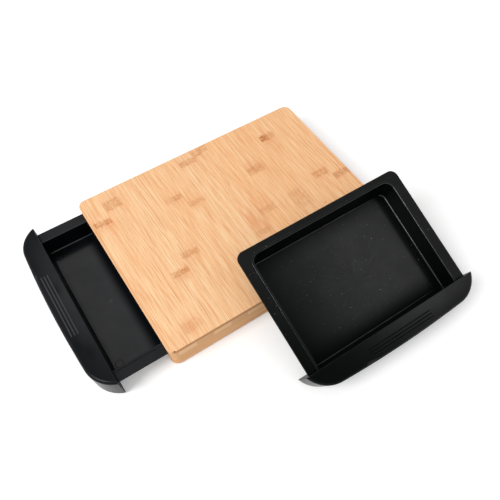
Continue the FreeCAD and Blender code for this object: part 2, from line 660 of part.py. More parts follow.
for item in doc.Objects:
    if "Invalid" in item.State or "Error" in item.State:
        raise RuntimeError(f"{item.Name} did not compute: {item.State}")
for node in NODES:
    shape = doc.getObjectsByLabel(node)[0].Shape
    if shape.isNull() or not shape.isValid():
        raise RuntimeError(f"{node} has no valid shape")

os.makedirs("parts", exist_ok=True)
for node in NODES:
    shape = doc.getObjectsByLabel(node)[0].Shape
    shape.exportStep(f"parts/{node}.step")
    box = shape.BoundBox
    print(f"{node}: {len(shape.Solids)} solid(s), {shape.Volume / 1000:.1f} cm3, "
          f"x {box.XMin:.1f}..{box.XMax:.1f}, y {box.YMin:.1f}..{box.YMax:.1f}, "
          f"z {box.ZMin:.1f}..{box.ZMax:.1f}")
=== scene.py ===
"""Bamboo cutting board with two black drawer trays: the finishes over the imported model.

The board is dressed strip by strip, the trays are dressed in their own axes, and the stage is a
pale floor under a soft lamp and an even sky.  Lengths inside materials are in millimetres.
"""

import logging
import math
from dataclasses import dataclass, field
from enum import Enum
from functools import reduce
from typing import ClassVar, Union

import bpy
from mathutils import Matrix, Vector


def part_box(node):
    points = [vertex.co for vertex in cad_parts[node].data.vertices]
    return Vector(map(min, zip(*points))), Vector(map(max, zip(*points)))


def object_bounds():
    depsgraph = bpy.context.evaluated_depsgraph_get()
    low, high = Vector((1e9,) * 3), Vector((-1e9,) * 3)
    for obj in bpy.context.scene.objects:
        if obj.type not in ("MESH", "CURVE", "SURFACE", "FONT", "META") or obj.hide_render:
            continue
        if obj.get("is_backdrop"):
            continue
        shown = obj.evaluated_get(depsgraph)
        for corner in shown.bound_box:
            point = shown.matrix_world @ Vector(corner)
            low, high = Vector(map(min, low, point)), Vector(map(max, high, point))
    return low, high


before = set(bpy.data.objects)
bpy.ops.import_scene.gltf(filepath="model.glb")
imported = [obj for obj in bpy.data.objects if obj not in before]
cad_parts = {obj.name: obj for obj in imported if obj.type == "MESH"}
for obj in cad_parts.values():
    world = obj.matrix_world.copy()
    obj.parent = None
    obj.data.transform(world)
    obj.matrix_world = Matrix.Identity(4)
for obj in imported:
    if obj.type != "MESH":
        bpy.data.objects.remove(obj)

LOG = logging.getLogger("cutting_board")
MM = 0.001
LEAN = 17.5  # slope of the right tray, in degrees
LEFT_ORIGIN = (0.0875, 0.13125, 0.0313)  # middle of the flange's back edge, in metres
RIGHT_ORIGIN = (0.2448, 0.043403, 0.090139)

Socket = bpy.types.NodeSocket
Given = Union[Socket, float, tuple]
Colour = tuple[float, float, float]


def linear(colour: Colour) -> tuple[float, float, float, float]:
    """A display colour of 0 to 255 as linear light with full alpha.

    Args:
        colour: red, green and blue as a screen shows them.

    Returns:
        The same colour as a shader wants it: c / 12.92 below 0.04045, else ((c + 0.055) / 1.055) ^ 2.4.
    """
    shares = [part / 255 for part in colour]
    light = [part / 12.92 if part <= 0.04045 else ((part + 0.055) / 1.055) ** 2.4 for part in shares]
    return (*light, 1.0)


class Graph:
    """A shader node tree that grows by method calls, most of which return an output socket."""

    def __init__(self, tree: bpy.types.NodeTree) -> None:
        """Work on the node tree of a material, a world or a group."""
        self.tree = tree

    def add(self, kind: str, *values: Given, **settings: object) -> bpy.types.Node:
        """A new node.

        Args:
            kind: Blender's name for the node.
            values: what its inputs are fed, in their order.
            settings: attributes set on it.

        Returns:
            The node.
        """
        node = self.tree.nodes.new(kind)
        for name, value in settings.items():
            setattr(node, name, value)
        for socket, value in zip(node.inputs, values):
            self.feed(socket, value)
        return node

    def feed(self, socket: Socket, value: Given) -> None:
        """Link a socket into an input, or set the input's own value.

        Args:
            socket: the input.
            value: an output socket or a constant.
        """
        if isinstance(value, bpy.types.NodeSocket):
            self.tree.links.new(value, socket)
        else:
            socket.default_value = value

    def math(self, operation: str, *values: Given, clamp: bool = False) -> Socket:
        """Arithmetic by Blender's name for it, kept from 0 to 1 where clamp is set."""
        return self.add("ShaderNodeMath", *values, operation=operation, use_clamp=clamp).outputs[0]

    def times(self, *values: Given) -> Socket:
        """The product of the values."""
        return reduce(lambda product, value: self.math("MULTIPLY", product, value), values)

    def gather(self, *pairs: tuple[Given, Given], start: Given = 0.0) -> Socket:
        """A start plus the value times the weight of each pair."""
        return reduce(lambda total, pair: self.math("MULTIPLY_ADD", *pair, total), pairs, start)

    def rest(self, value: Given) -> Socket:
        """What a share leaves of the whole, 1 - value."""
        return self.math("SUBTRACT", 1.0, value)

    def sway(self, base: Given, noise: Given, reach: Given) -> Socket:
        """A value moved by a noise, base + reach * (noise - 0.5)."""
        return self.math("MULTIPLY_ADD", self.math("SUBTRACT", noise, 0.5), reach, base)

    def hill(self, value: Given, middle: Given, reach: Given) -> Socket:
        """A bell curve, e ^ -((value - middle) / reach) ^ 2."""
        step = self.math("DIVIDE", self.math("SUBTRACT", value, middle), reach)
        return self.math("EXPONENT", self.times(step, step, -1.0))

    def ramp(self, value: Given, start: Given, end: Given, low: Given = 0.0, high: Given = 1.0) -> Socket:
        """A smooth step of a value, which gives low before start and high after end."""
        node = self.add("ShaderNodeMapRange", value, start, end, low, high, interpolation_type="SMOOTHSTEP")
        return node.outputs[0]

    def split(self, vector: Given) -> tuple[Socket, Socket, Socket]:
        """The three parts of a vector."""
        return tuple(self.add("ShaderNodeSeparateXYZ", vector).outputs)

    def join(self, x: Given, y: Given, z: Given) -> Socket:
        """A vector from its three parts."""
        return self.add("ShaderNodeCombineXYZ", x, y, z).outputs[0]

    def distance(self, first: Given, second: Given) -> Socket:
        """How far apart two points are."""
        return self.add("ShaderNodeVectorMath", first, second, operation="DISTANCE").outputs["Value"]

    def stretch(self, vector: Given, size: Given) -> Socket:
        """A vector divided by a size, which is one value for all three axes or a tuple for each."""
        size = (size,) * 3 if isinstance(size, float) else size
        return self.add("ShaderNodeVectorMath", vector, size, operation="DIVIDE").outputs[0]

    def noise(self, vector: Given, seed: Given, size: Given, detail: float = 2.0,
              rough: float = 0.5) -> Socket:
        """Smooth noise of about 0.25 to 0.75.

        Args:
            vector: where it is read.
            seed: shifts the pattern.
            size: the width of its cells, for all axes or for each.
            detail: octaves.
            rough: how strong the finer octaves are.

        Returns:
            The noise value.
        """
        node = self.add("ShaderNodeTexNoise", noise_dimensions="4D")
        given = {"W": seed, "Scale": 1.0, "Detail": detail, "Roughness": rough}
        given["Vector"] = self.stretch(vector, size)
        for name, value in given.items():
            self.feed(node.inputs[name], value)
        return node.outputs[0]

    def mix(self, share: Given, low: Given, high: Given) -> Socket:
        """Two colours mixed.

        Args:
            share: how much of the second colour shows.
            low: the first colour.
            high: the second colour.

        Returns:
            The mixed colour.
        """
        node = self.add("ShaderNodeMix", data_type="RGBA")
        for index, value in ((0, share), (6, low), (7, high)):
            self.feed(node.inputs[index], value)
        return node.outputs[2]

    def paint(self, under: Given, over: Colour, *shares: Given) -> Socket:
        """A colour with a display colour laid over it, as far as the product of the shares says."""
        return self.mix(self.times(*shares), under, linear(over))


class Effect:
    """A shader node group, built once and placed in each material with its own values."""

    name: ClassVar[str] = ""
    inputs: ClassVar[dict[str, Given]] = {}
    outputs: ClassVar[tuple[str, ...]] = ()

    def wire(self, graph: Graph, given: dict[str, Socket]) -> dict[str, Socket]:
        """Build the group's inside.

        Args:
            graph: the group's own tree.
            given: its input sockets by name.

        Returns:
            Its results by name.
        """
        raise NotImplementedError

    def tree(self) -> bpy.types.NodeTree:
        """Make the group on first use.

        Returns:
            Its node tree.
        """
        found = bpy.data.node_groups.get(self.name)
        if found:
            return found
        tree = bpy.data.node_groups.new(self.name, "ShaderNodeTree")
        for name, default in self.inputs.items():
            kind = "NodeSocketVector" if isinstance(default, tuple) else "NodeSocketFloat"
            socket = tree.interface.new_socket(name=name, in_out="INPUT", socket_type=kind)
            socket.default_value = default
        for name in self.outputs:
            tree.interface.new_socket(name=name, in_out="OUTPUT", socket_type="NodeSocketFloat")
        graph = Graph(tree)
        entry = graph.add("NodeGroupInput")
        leave = graph.add("NodeGroupOutput")
        made = self.wire(graph, {name: entry.outputs[name] for name in self.inputs})
        for name, socket in made.items():
            graph.feed(leave.inputs[name], socket)
        return tree

    def place(self, graph: Graph, **values: Given) -> dict[str, Socket]:
        """Put the group into a material.

        Args:
            graph: the material's tree.
            values: its inputs by name, with underscores for spaces.

        Returns:
            Its output sockets by name.
        """
        node = graph.add("ShaderNodeGroup", node_tree=self.tree())
        for name, value in values.items():
            graph.feed(node.inputs[name.replace("_", " ")], value)
        return {name: node.outputs[name] for name in self.outputs}


class Fibres(Effect):
    """Bamboo's straight fibres, which run along Y.

    Four noises stretched along Y: fine streaks 0.75 mm wide, lines 2.1 mm wide, broad ones 7 mm wide
    and short dashes where the vessels are.  The fibres wander sideways: x' = x + reach * (n - 0.5),
    with n a slow noise and reach = 2.2 + figure * hill(y).
    """

    name = "bamboo fibres"
    inputs = {"Vector": (0.0, 0.0, 0.0), "Seed": 0.0, "Figure": 0.0, "Figure at": 0.0, "Figure reach": 30.0}
    outputs = ("Streak", "Line", "Broad", "Dash")

    def wire(self, graph: Graph, given: dict[str, Socket]) -> dict[str, Socket]:
        """Build the four noises.

        Args:
            graph: the group's own tree.
            given: its input sockets by name.

        Returns:
            The noises by name.
        """
        seed = given["Seed"]
        x, y, z = graph.split(given["Vector"])
        bend = graph.noise(given["Vector"], seed, (9.0, 32.0, 9.0), 1.0)
        local = graph.hill(y, given["Figure at"], given["Figure reach"])
        bent = graph.join(graph.sway(x, bend, graph.gather((given["Figure"], local), start=2.2)), y, z)
        return {
            "Streak": graph.noise(bent, seed, (0.75, 46.0, 0.75), 2.0, 0.6),
            "Line": graph.noise(bent, graph.math("ADD", seed, 3.7), (2.1, 85.0, 2.1), 2.0, 0.55),
            "Broad": graph.noise(bent, seed, (7.0, 150.0, 7.0)),
            "Dash": graph.noise(bent, seed, (0.55, 7.0, 0.55), 1.0),
        }


class NodeBand(Effect):
    """The mark of one bamboo node across a strip, at a height along Y.

    Each fibre meets the node at its own height, so y' = y - place - slope * x, plus a slow noise
    over x of +-1.5 mm and a quick one of +-2.5 mm.  With t = y' / (length / 2), the band is a step
    down round |t| = 1 that fades at random across the strip.  The cuts are two thin bells at t = 0.7
    and -0.75 and short dark dashes between them, all along Y.  The halo is a wide bell beside it.
    """

    name = "bamboo node"
    inputs = {
        "Vector": (0.0, 0.0, 0.0), "Seed": 0.0, "Place": 0.0, "Length": 10.0, "Slope": 0.0,
        "Side": 0.0, "Halo side": 0.0, "Halo reach": 14.0,
    }
    outputs = ("Band", "Cut", "Halo")

    def wire(self, graph: Graph, given: dict[str, Socket]) -> dict[str, Socket]:
        """Build the band, its cuts and its halo.

        Args:
            graph: the group's own tree.
            given: its input sockets by name.

        Returns:
            Their masks by name.
        """
        vector, seed = given["Vector"], given["Seed"]
        x, y, _ = graph.split(vector)
        slow = graph.noise(vector, seed, (9.0, 60.0, 9.0), 1.0)
        quick = graph.noise(vector, seed, (1.1, 12.0, 1.1), 1.0)
        flat = graph.math("SUBTRACT", y, given["Place"])
        bent = graph.math("SUBTRACT", flat, graph.times(given["Slope"], x))
        bent = graph.sway(graph.sway(bent, slow, 6.0), quick, 10.0)
        place = graph.math("DIVIDE", bent, graph.times(given["Length"], 0.5))
        inside = graph.ramp(graph.math("ABSOLUTE", place), 1.3, 0.6)
        one_side = graph.ramp(graph.times(x, given["Side"]), -4.0, 4.0, 0.30, 1.0)
        cloud = graph.noise(vector, seed, 5.0, 2.0, 0.6)
        dash = graph.ramp(graph.noise(vector, seed, (1.1, 5.5, 1.1), 1.0), 0.48, 0.58)
        lines = graph.math("MAXIMUM", graph.hill(place, 0.7, 0.2), graph.hill(place, -0.75, 0.16))
        cut = graph.math("MAXIMUM", graph.times(lines, graph.ramp(dash, 0.0, 1.0, 0.35, 1.0)),
                         graph.times(dash, inside, 0.7))
        middle = graph.times(given["Halo reach"], given["Halo side"], 0.6)
        halo = graph.hill(bent, middle, given["Halo reach"])
        fade = graph.ramp(graph.noise(vector, seed, (2.0, 24.0, 2.0)), 0.3, 0.6)
        return {
            "Band": graph.times(inside, one_side, graph.ramp(cloud, 0.34, 0.58, 0.2, 1.0)),
            "Cut": graph.times(cut, one_side, graph.ramp(cloud, 0.35, 0.65, 0.4, 1.0)),
            "Halo": graph.times(halo, fade),
        }


class Facing(Effect):
    """Where a surface points, from its own normal: up or down, along X, along Y, and rounded edges.

    An edge is where the normal leans, 1 - the largest of |nx|, |ny| and |nz|, stepped at 0.02 to 0.2.
    Lip Y takes in the rounding beside an end along Y.
    """

    name = "facing"
    inputs = {"Normal": (0.0, 0.0, 1.0)}
    outputs = ("Flat", "End X", "End Y", "Lip Y", "Edge")

    def wire(self, graph: Graph, given: dict[str, Socket]) -> dict[str, Socket]:
        """Build the five masks.

        Args:
            graph: the group's own tree.
            given: its input sockets by name.

        Returns:
            The masks by name.
        """
        x, y, z = (graph.math("ABSOLUTE", part) for part in graph.split(given["Normal"]))
        largest = graph.math("MAXIMUM", graph.math("MAXIMUM", x, y), z)
        return {
            "Flat": graph.ramp(z, 0.5, 0.9),
            "End X": graph.ramp(x, 0.86, 0.97),
            "End Y": graph.ramp(y, 0.86, 0.97),
            "Lip Y": graph.ramp(y, 0.10, 0.45),
            "Edge": graph.ramp(largest, 0.98, 0.80),
        }


class Spot(Effect):
    """A small round mark: a step down with distance from a point, ragged by noise."""

    name = "spot"
    inputs = {"Vector": (0.0, 0.0, 0.0), "Centre": (0.0, 0.0, 0.0), "Radius": 1.0, "Seed": 0.0}
    outputs = ("Spot",)

    def wire(self, graph: Graph, given: dict[str, Socket]) -> dict[str, Socket]:
        """Build the mark.

        Args:
            graph: the group's own tree.
            given: its input sockets by name.

        Returns:
            Its mask.
        """
        away = graph.math("DIVIDE", graph.distance(given["Vector"], given["Centre"]), given["Radius"])
        ragged = graph.noise(given["Vector"], given["Seed"], 1.0)
        return {"Spot": graph.ramp(graph.sway(away, ragged, 1.0), 1.1, 0.6)}


class Moulding(Effect):
    """The skin of moulded plastic and rubber: a fine even grain, and broad soft patches in its gloss."""

    name = "moulded skin"
    inputs = {"Vector": (0.0, 0.0, 0.0), "Grain": 0.35, "Seed": 0.0}
    outputs = ("Grain", "Patch")

    def wire(self, graph: Graph, given: dict[str, Socket]) -> dict[str, Socket]:
        """Build the grain and the patches.

        Args:
            graph: the group's own tree.
            given: its input sockets by name.

        Returns:
            The two noises by name.
        """
        return {
            "Grain": graph.noise(given["Vector"], given["Seed"], given["Grain"], 2.0, 0.6),
            "Patch": graph.noise(given["Vector"], given["Seed"], 38.0, 3.0, 0.55),
        }


class TrayWearAndSheen(Effect):
    """Which part of a moulded tray a point lies on, and how glossy its coat is there, from wear and from
    painted sheen and painted shade.

    In the tray's axes: an edge's normal leans, with nz from 0.4 to 0.9, and the crescent's own edge,
    below its top, stays dull.  The floor lies below z = -20 and is glossy from Back to Front along x
    and from Side along y; these fades are painted reflection and painted shade.  The crescent carries
    three ribs, a pitch apart.  A ring lies in each of the floor's front corners.  Flange and floor fade
    by a smooth step of y - 0.6 * x from Shade on, a painted shade.
    """

    CRESCENT_BACK = 179.1
    CRESCENT_TOP = 12.2
    RIB_MIDDLE = 196.0
    RIB_PITCH = 4.4
    RIB_HALF = 52.0
    RING_AT = (168.0, 100.2, 0.0)
    RING_RADIUS = 5.5

    name = "tray wear and sheen"
    inputs = {
        "Vector": (0.0, 0.0, 0.0), "Normal": (0.0, 0.0, 1.0), "Seed": 0.0, "Back": 0.0, "Back full": 10.0,
        "Front": 182.0, "Front full": 178.0, "Side": -130.0, "Side full": -120.0, "Side low": 0.0,
        "Shade": -400.0, "Shade full": -390.0,
    }
    outputs = ("Edge", "Flat", "Floor", "Wall", "Crescent", "Ear", "Rib", "Ring")

    def wire(self, graph: Graph, given: dict[str, Socket]) -> dict[str, Socket]:
        """Build the masks.

        Args:
            graph: the group's own tree.
            given: its input sockets by name.

        Returns:
            The masks by name.
        """
        x, y, height = graph.split(given["Vector"])
        _, _, up = graph.split(given["Normal"])
        aside = graph.math("ABSOLUTE", y)
        front = graph.ramp(x, self.CRESCENT_BACK - 0.5, self.CRESCENT_BACK + 0.5)
        low = graph.ramp(height, -15.0, -20.0)
        upright = graph.ramp(up, 0.5, 0.2)
        shade = graph.ramp(graph.gather((x, -0.6), start=y), given["Shade"], given["Shade full"])
        level = graph.times(graph.ramp(up, 0.9, 0.99), shade)

        leaning = graph.times(graph.ramp(up, 0.28, 0.5), graph.ramp(up, 0.97, 0.85))
        panel = graph.times(front, graph.ramp(height, self.CRESCENT_TOP + 0.1, self.CRESCENT_TOP))
        uneven = graph.noise(given["Vector"], given["Seed"], 14.0)
        kept = graph.gather((panel, -0.9), start=1.0)

        floor = graph.times(
            level, low, graph.ramp(x, given["Back"], given["Back full"]),
            graph.ramp(x, given["Front"], given["Front full"]),
            graph.ramp(y, given["Side"], given["Side full"], given["Side low"], 1.0),
        )
        off = graph.math("ABSOLUTE", graph.math("SUBTRACT", x, self.RIB_MIDDLE))
        off = graph.math("MINIMUM", off, graph.math("ABSOLUTE", graph.math("SUBTRACT", off, self.RIB_PITCH)))
        within = graph.ramp(aside, self.RIB_HALF + 0.6, self.RIB_HALF - 0.6)
        ring = graph.hill(graph.distance(graph.join(x, aside, 0.0), self.RING_AT), self.RING_RADIUS, 0.5)
        return {
            "Edge": graph.times(leaning, kept, graph.ramp(uneven, 0.3, 0.7, 0.6, 1.0)),
            "Flat": graph.times(level, graph.rest(low), graph.rest(front)),
            "Floor": floor,
            "Wall": graph.times(graph.rest(front), upright),
            "Crescent": graph.times(front, graph.ramp(up, 0.5, 0.8)),
            "Ear": graph.times(front, upright),
            "Rib": graph.times(graph.ramp(off, 1.0, 0.4), within, graph.ramp(up, 0.1, 0.3)),
            "Ring": graph.times(ring, low),
        }


class Dust(Effect):
    """Specks of dust on whatever faces up: one dot in some cells of a cell noise over x and y."""

    name = "dust"
    inputs = {"Vector": (0.0, 0.0, 0.0), "Cell": 8.0, "Share": 0.3}
    outputs = ("Speck",)

    def wire(self, graph: Graph, given: dict[str, Socket]) -> dict[str, Socket]:
        """Build the specks, each with its own size and strength.

        Args:
            graph: the group's own tree.
            given: its input sockets by name.

        Returns:
            Their mask.
        """
        cells = graph.add("ShaderNodeTexVoronoi", voronoi_dimensions="2D")
        graph.feed(cells.inputs["Vector"], graph.stretch(given["Vector"], given["Cell"]))
        graph.feed(cells.inputs["Scale"], 1.0)
        chance, size, strength = graph.split(cells.outputs["Color"])
        inner = graph.ramp(size, 0.2, 1.0, 0.012, 0.055)
        speck = graph.ramp(cells.outputs["Distance"], graph.times(inner, 1.6), inner)
        chosen = graph.math("LESS_THAN", chance, given["Share"])
        return {"Speck": graph.times(speck, chosen, graph.ramp(strength, 0.0, 1.0, 0.25, 1.0))}


class Flow(Effect):
    """Faint lines that fan out over a moulded floor from its gate: noise over the angle round it."""

    name = "flow marks"
    inputs = {"Vector": (0.0, 0.0, 0.0), "Gate": (108.0, 6.0, 0.0), "Reach": 85.0, "Seed": 0.0}
    outputs = ("Line",)

    def wire(self, graph: Graph, given: dict[str, Socket]) -> dict[str, Socket]:
        """Build the lines, which fade with distance from the gate.

        Args:
            graph: the group's own tree.
            given: its input sockets by name.

        Returns:
            Their mask.
        """
        away = graph.add("ShaderNodeVectorMath", given["Vector"], given["Gate"], operation="SUBTRACT")
        x, y, _ = graph.split(away.outputs[0])
        length = graph.distance(graph.join(x, y, 0.0), (0.0, 0.0, 0.0))
        angle = graph.math("ARCTAN2", y, x)
        fan = graph.join(graph.times(angle, 11.0), graph.math("DIVIDE", length, 30.0), 0.0)
        lines = graph.ramp(graph.noise(fan, given["Seed"], 1.0, 2.0, 0.6), 0.52, 0.66)
        fade = graph.times(graph.ramp(length, 3.0, 16.0), graph.ramp(length, given["Reach"], 15.0))
        return {"Line": graph.times(lines, fade)}


FIBRES, NODE_BAND, FACING, SPOT = Fibres(), NodeBand(), Facing(), Spot()
MOULDING, TRAY_WEAR_AND_SHEEN, DUST, FLOW = Moulding(), TrayWearAndSheen(), Dust(), Flow()


class Finish:
    """A material that is made once, from the values its dataclass holds."""

    name: str
    specular: float = 0.5

    def shade(self, graph: Graph, shader: bpy.types.Node) -> None:
        """Wire the material's nodes into its shader.

        Args:
            graph: the material's tree.
            shader: its Principled BSDF.
        """
        raise NotImplementedError

    def material(self) -> bpy.types.Material:
        """Make the material on first use.

        Returns:
            The material.
        """
        found = bpy.data.materials.get(self.name)
        if found:
            return found
        made = bpy.data.materials.new(self.name)
        made.use_nodes = True
        shader = made.node_tree.nodes["Principled BSDF"]
        shader.inputs["Specular IOR Level"].default_value = self.specular
        self.shade(Graph(made.node_tree), shader)
        return made

    @staticmethod
    def place(graph: Graph, centre: Vector, turn: tuple = (0.0, 0.0, 0.0)) -> Socket:
        """Object coordinates in millimetres, from a centre and along turned axes.

        Args:
            graph: the material's tree.
            centre: the pattern's origin, in metres.
            turn: the pattern's axes as Euler angles.

        Returns:
            The vector socket.
        """
        source = graph.add("ShaderNodeTexCoord")
        mapping = graph.add("ShaderNodeMapping", source.outputs["Object"], centre, turn, (MM, MM, MM),
                            vector_type="TEXTURE")
        return mapping.outputs["Vector"]

    @staticmethod
    def facing(graph: Graph) -> dict[str, Socket]:
        """The masks of the Facing effect for the piece's own normal."""
        source = graph.add("ShaderNodeTexCoord")
        return FACING.place(graph, Normal=source.outputs["Normal"])

    @staticmethod
    def cover(shader: bpy.types.Node, graph: Graph, colour: Socket, rough: Socket, height: Socket,
              depth: float, strength: float = 1.0) -> None:
        """Feed the shader its colour, roughness and relief.

        Args:
            shader: the material's Principled BSDF.
            graph: the material's tree.
            colour: the base colour.
            rough: the roughness.
            height: the relief, of 0 to 1.
            depth: its depth in millimetres.
            strength: how much of it shows.
        """
        bump = graph.add("ShaderNodeBump")
        fed = {"Strength": strength, "Distance": depth * MM, "Height": height}
        for name, value in fed.items():
            graph.feed(bump.inputs[name], value)
        for name, value in (("Base Color", colour), ("Roughness", rough), ("Normal", bump.outputs[0])):
            graph.feed(shader.inputs[name], value)


class Grain(Enum):
    """Which way a bamboo piece's fibres run."""

    ALONG_X = (0.0, 0.0, math.pi / 2)
    ALONG_Y = (0.0, 0.0, 0.0)


@dataclass(frozen=True)
class Mark:
    """One bamboo node on a strip.

    Attributes:
        place: its height along the strip, from the board's middle, in millimetres.
        length: its length along the strip, in millimetres.
        depth: how dark it is, of 0 to 1.
        slope: how much it leans across the strip.
        side: 1 or -1 where only the right or left half is dark.
        halo: how strong the reddish zone beside it is.
        halo_side: 1 where that zone lies beyond the mark, -1 where it lies before it.
        halo_reach: the zone's length in millimetres.
    """

    place: float
    length: float = 10.0
    depth: float = 0.5
    slope: float = 0.0
    side: float = 0.0
    halo: float = 0.3
    halo_side: float = 0.0
    halo_reach: float = 14.0


@dataclass(frozen=True)
class StripLook:
    """How one strip of the cutting face differs from the others.

    Attributes:
        warmth: how orange it is, of 0 to 1.
        shade: how dark it is, of 0 to 1.
        marks: its bamboo nodes.
        figure: how far its fibres wander round figure_at, in millimetres.
        figure_at: where along the strip they wander.
        spots: small dark dots, as x from the strip's middle, y from the board's middle, and radius.
        sawn: how strongly the brown of its sawn end shows.
    """

    warmth: float = 0.3
    shade: float = 0.3
    marks: tuple[Mark, ...] = ()
    figure: float = 0.0
    figure_at: float = 0.0
    spots: tuple[tuple[float, float, float], ...] = ()
    sawn: float = 0.9


@dataclass(frozen=True)
class StripFinish(Finish):
    """Oiled bamboo of one strip: fibres along Y, its nodes, end grain at its sawn ends."""

    name: str
    centre: Vector
    half_width: float
    seed: float
    look: StripLook
    specular: float = 0.25
    pale: Colour = (252, 209, 162)
    tan: Colour = (250, 193, 141)
    orange: Colour = (250, 180, 120)
    streak: Colour = (218, 150, 97)
    light: Colour = (252, 222, 178)
    node: Colour = (214, 138, 80)
    cut: Colour = (140, 72, 30)
    halo: Colour = (226, 150, 100)
    end_grain: Colour = (204, 150, 98)
    end_dark: Colour = (168, 114, 66)
    burn: Colour = (104, 58, 24)
    seam: float = 0.35
    figure_reach: float = 24.0

    def shade(self, graph: Graph, shader: bpy.types.Node) -> None:
        """Wire the strip's colour, gloss and relief.

        Args:
            graph: the material's tree.
            shader: its Principled BSDF.
        """
        look = self.look
        place = self.place(graph, self.centre)
        fibres = FIBRES.place(graph, Vector=place, Seed=self.seed, Figure=look.figure,
                              Figure_at=look.figure_at, Figure_reach=self.figure_reach)
        facing = self.facing(graph)
        body = graph.ramp(fibres["Broad"], 0.36 - 0.2 * look.shade, 0.76 - 0.2 * look.shade)
        colour = graph.paint(linear(self.pale), self.orange, look.warmth)
        colour = graph.paint(colour, self.tan, body)
        for name, start, end, share, over in (
            ("Line", 0.46, 0.32, 0.5, self.light),
            ("Line", 0.52, 0.68, 0.34, self.streak),
            ("Streak", 0.48, 0.37, 0.6, self.light),
            ("Streak", 0.50, 0.64, 0.66, self.streak),
            ("Dash", 0.56, 0.72, 0.26, self.streak),
        ):
            colour = graph.paint(colour, over, graph.ramp(fibres[name], start, end, 0.0, share))
        for number, mark in enumerate(look.marks):
            band = NODE_BAND.place(graph, Vector=place, Seed=self.seed + 3.1 * number, Place=mark.place,
                                   Length=mark.length, Slope=mark.slope, Side=mark.side,
                                   Halo_side=mark.halo_side, Halo_reach=mark.halo_reach)
            colour = graph.paint(colour, self.halo, band["Halo"], mark.halo)
            colour = graph.paint(colour, self.node, band["Band"], min(1.0, 1.5 * mark.depth))
            colour = graph.paint(colour, self.cut, band["Cut"], min(1.0, 1.3 * mark.depth))
        x, _, _ = graph.split(place)
        seam = graph.ramp(graph.math("ABSOLUTE", x), self.half_width - self.seam, self.half_width, 0.0, 0.35)
        colour = graph.paint(colour, self.streak, seam, facing["Flat"])
        # Rounded edges painted paler: partly sanded wear, partly a painted highlight on the round-over.
        colour = graph.paint(colour, self.pale, facing["Edge"], 0.35)
        colour = graph.paint(colour, self.end_dark, facing["Lip Y"], 0.85 * look.sawn)
        sawn = graph.paint(linear(self.end_grain), self.end_dark, graph.ramp(fibres["Dash"], 0.4, 0.62))
        colour = graph.mix(graph.times(facing["End Y"], look.sawn), colour, sawn)
        for across, along, radius in look.spots:
            spot = SPOT.place(graph, Vector=place, Centre=(across, along, 0.0), Radius=radius, Seed=self.seed)
            colour = graph.paint(colour, self.burn, spot["Spot"])
        rough = graph.ramp(fibres["Dash"], 0.3, 0.7, 0.46, 0.62)
        self.cover(shader, graph, colour, rough, fibres["Streak"], 0.05, 0.6)


@dataclass(frozen=True)
class CoreFinish(Finish):
    """Bamboo of the core panel: strips seen at their sawn ends, light and dark by turns."""

    name: str
    centre: Vector
    specular: float = 0.3
    pitch: float = 26.4
    offset: float = -152.3
    pale: Colour = (244, 196, 146)
    tan: Colour = (226, 176, 126)
    streak: Colour = (190, 138, 90)

    def shade(self, graph: Graph, shader: bpy.types.Node) -> None:
        """Wire the core's blocks and its fibres.

        Args:
            graph: the material's tree.
            shader: its Principled BSDF.
        """
        place = self.place(graph, self.centre)
        fibres = FIBRES.place(graph, Vector=place, Seed=41.0)
        facing = self.facing(graph)
        x, _, _ = graph.split(place)
        turn = graph.math("FLOOR", graph.math("DIVIDE", graph.math("SUBTRACT", x, self.offset), self.pitch))
        even = graph.math("PINGPONG", turn, 1.0)
        pores = graph.noise(place, 7.0, (1.1, 1.1, 1.3), 2.0, 0.7)
        block = graph.paint(linear(self.tan), self.pale, even)
        block = graph.paint(block, self.streak, graph.ramp(pores, 0.45, 0.7, 0.0, 0.35))
        side = graph.paint(linear(self.tan), self.streak, graph.ramp(fibres["Streak"], 0.42, 0.75, 0.0, 0.6))
        rough = graph.ramp(pores, 0.3, 0.7, 0.55, 0.7)
        self.cover(shader, graph, graph.mix(facing["End Y"], side, block), rough, pores, 0.05, 0.5)


@dataclass(frozen=True)
class BarFinish(Finish):
    """Bamboo of a rail or of the divider, or the beech of a dowel: fibres along the bar."""

    name: str
    centre: Vector
    grain: Grain
    seed: float
    specular: float = 0.3
    pale: Colour = (238, 184, 128)
    tan: Colour = (222, 166, 112)
    streak: Colour = (190, 132, 80)
    knots: tuple[tuple[float, float, float], ...] = ()
    knot_length: float = 2.2

    def shade(self, graph: Graph, shader: bpy.types.Node) -> None:
        """Wire the bar's fibres, its small knots and its sawn ends.

        Args:
            graph: the material's tree.
            shader: its Principled BSDF.
        """
        place = self.place(graph, self.centre, self.grain.value)
        fibres = FIBRES.place(graph, Vector=place, Seed=self.seed, Figure=1.0)
        facing = self.facing(graph)
        colour = graph.paint(linear(self.pale), self.tan, graph.ramp(fibres["Broad"], 0.32, 0.68))
        colour = graph.paint(colour, self.streak, graph.ramp(fibres["Streak"], 0.46, 0.78, 0.0, 0.5))
        for across, along, up in self.knots:
            knot = SPOT.place(graph, Vector=graph.stretch(place, (1.0, self.knot_length, 1.0)),
                              Centre=(across, along / self.knot_length, up), Radius=3.0, Seed=self.seed)
            colour = graph.paint(colour, self.streak, knot["Spot"], 0.45)
        pores = graph.noise(place, self.seed, 0.9, 2.0, 0.7)
        sawn = graph.paint(linear(self.tan), self.streak, graph.ramp(pores, 0.4, 0.7, 0.0, 0.7))
        end = facing["End X"] if self.grain is Grain.ALONG_X else facing["End Y"]
        rough = graph.ramp(fibres["Dash"], 0.3, 0.7, 0.5, 0.66)
        self.cover(shader, graph, graph.mix(end, colour, sawn), rough, fibres["Streak"], 0.05, 0.6)


@dataclass(frozen=True)
class Smudge:
    """A faint mark on a tray: its middle and size in the tray's axes, and how much it darkens or lightens."""

    x: float
    y: float
    long: float
    wide: float
    strength: float


